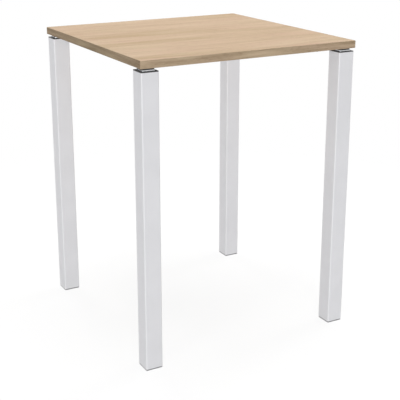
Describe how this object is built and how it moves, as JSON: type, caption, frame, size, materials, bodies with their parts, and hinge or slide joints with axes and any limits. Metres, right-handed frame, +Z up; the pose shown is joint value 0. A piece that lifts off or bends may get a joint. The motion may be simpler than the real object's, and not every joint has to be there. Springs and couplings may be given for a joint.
{
  "type": "high table",
  "caption": "Square high table: a wood-effect board with banded edges on separate square white legs, each with a black cap, a bright spacer under the board and a levelling foot.",
  "frame": {"origin": "on the floor under the middle of the top", "axes": "+Z up, X along the front edge of the top and its grain, -Y towards the front"},
  "size_m": [0.8, 0.8, 1.03],
  "materials": {
    "oak_face": "wood-effect face with fine straight grain, matt",
    "oak_edge": "wood-effect edge band, a little darker than the face, matt",
    "leg_white": "white powder coat, satin",
    "cap_black": "black moulded plastic, matt",
    "spacer_bright": "bright aluminium",
    "plate_black": "black powder coat, matt",
    "bare_steel": "bare steel",
    "zinc_steel": "zinc plated",
    "plug_black": "black moulded plastic",
    "foot_grey": "grey moulded plastic, matt"
  },
  "bodies": {
    "table": {"tabletop_board": "oak_face", "edge_band_front": "oak_edge", "edge_band_rear": "oak_edge", "edge_band_left": "oak_edge", "edge_band_right": "oak_edge", "leg_tube_front_left": "leg_white", "nut_plate_front_left": "bare_steel", "leg_cap_front_left": "cap_black", "leg_spacer_front_left": "spacer_bright", "mounting_plate_front_left": "plate_black", "leg_bolts_front_left": "zinc_steel", "plate_screws_front_left": "zinc_steel", "screw_inserts_front_left": "zinc_steel", "foot_plug_front_left": "plug_black", "foot_nut_front_left": "zinc_steel", "leg_tube_front_right": "leg_white", "nut_plate_front_right": "bare_steel", "leg_cap_front_right": "cap_black", "leg_spacer_front_right": "spacer_bright", "mounting_plate_front_right": "plate_black", "leg_bolts_front_right": "zinc_steel", "plate_screws_front_right": "zinc_steel", "screw_inserts_front_right": "zinc_steel", "foot_plug_front_right": "plug_black", "foot_nut_front_right": "zinc_steel", "leg_tube_rear_right": "leg_white", "nut_plate_rear_right": "bare_steel", "leg_cap_rear_right": "cap_black", "leg_spacer_rear_right": "spacer_bright", "mounting_plate_rear_right": "plate_black", "leg_bolts_rear_right": "zinc_steel", "plate_screws_rear_right": "zinc_steel", "screw_inserts_rear_right": "zinc_steel", "foot_plug_rear_right": "plug_black", "foot_nut_rear_right": "zinc_steel", "leg_tube_rear_left": "leg_white", "nut_plate_rear_left": "bare_steel", "leg_cap_rear_left": "cap_black", "leg_spacer_rear_left": "spacer_bright", "mounting_plate_rear_left": "plate_black", "leg_bolts_rear_left": "zinc_steel", "plate_screws_rear_left": "zinc_steel", "screw_inserts_rear_left": "zinc_steel", "foot_plug_rear_left": "plug_black", "foot_nut_rear_left": "zinc_steel"},
    "foot_front_left": {"foot_pad_front_left": "foot_grey"},
    "stem_front_left": {"foot_stem_front_left": "zinc_steel"},
    "foot_front_right": {"foot_pad_front_right": "foot_grey"},
    "stem_front_right": {"foot_stem_front_right": "zinc_steel"},
    "foot_rear_right": {"foot_pad_rear_right": "foot_grey"},
    "stem_rear_right": {"foot_stem_rear_right": "zinc_steel"},
    "foot_rear_left": {"foot_pad_rear_left": "foot_grey"},
    "stem_rear_left": {"foot_stem_rear_left": "zinc_steel"}
  },
  "joints": [
    {"name": "foot_level_front_left", "type": "slide", "parent": "table", "child": "foot_front_left", "axis": [0, 0, -1], "range_m": [0, 0.012]},
    {"name": "stem_turn_front_left", "type": "hinge", "parent": "foot_front_left", "child": "stem_front_left", "pos_m": [-0.367, -0.367, 0], "axis": [0, 0, -1], "range_deg": [0, 2880]},
    {"name": "foot_level_front_right", "type": "slide", "parent": "table", "child": "foot_front_right", "axis": [0, 0, -1], "range_m": [0, 0.012]},
    {"name": "stem_turn_front_right", "type": "hinge", "parent": "foot_front_right", "child": "stem_front_right", "pos_m": [0.367, -0.367, 0], "axis": [0, 0, -1], "range_deg": [0, 2880]},
    {"name": "foot_level_rear_right", "type": "slide", "parent": "table", "child": "foot_rear_right", "axis": [0, 0, -1], "range_m": [0, 0.012]},
    {"name": "stem_turn_rear_right", "type": "hinge", "parent": "foot_rear_right", "child": "stem_rear_right", "pos_m": [0.367, 0.367, 0], "axis": [0, 0, -1], "range_deg": [0, 2880]},
    {"name": "foot_level_rear_left", "type": "slide", "parent": "table", "child": "foot_rear_left", "axis": [0, 0, -1], "range_m": [0, 0.012]},
    {"name": "stem_turn_rear_left", "type": "hinge", "parent": "foot_rear_left", "child": "stem_rear_left", "pos_m": [-0.367, 0.367, 0], "axis": [0, 0, -1], "range_deg": [0, 2880]}
  ],
  "couplings": [
    {"joint": "stem_turn_front_left", "follows": "foot_level_front_left", "rad_per_m": 4188.8},
    {"joint": "stem_turn_front_right", "follows": "foot_level_front_right", "rad_per_m": 4188.8},
    {"joint": "stem_turn_rear_right", "follows": "foot_level_rear_right", "rad_per_m": 4188.8},
    {"joint": "stem_turn_rear_left", "follows": "foot_level_rear_left", "rad_per_m": 4188.8}
  ]
}
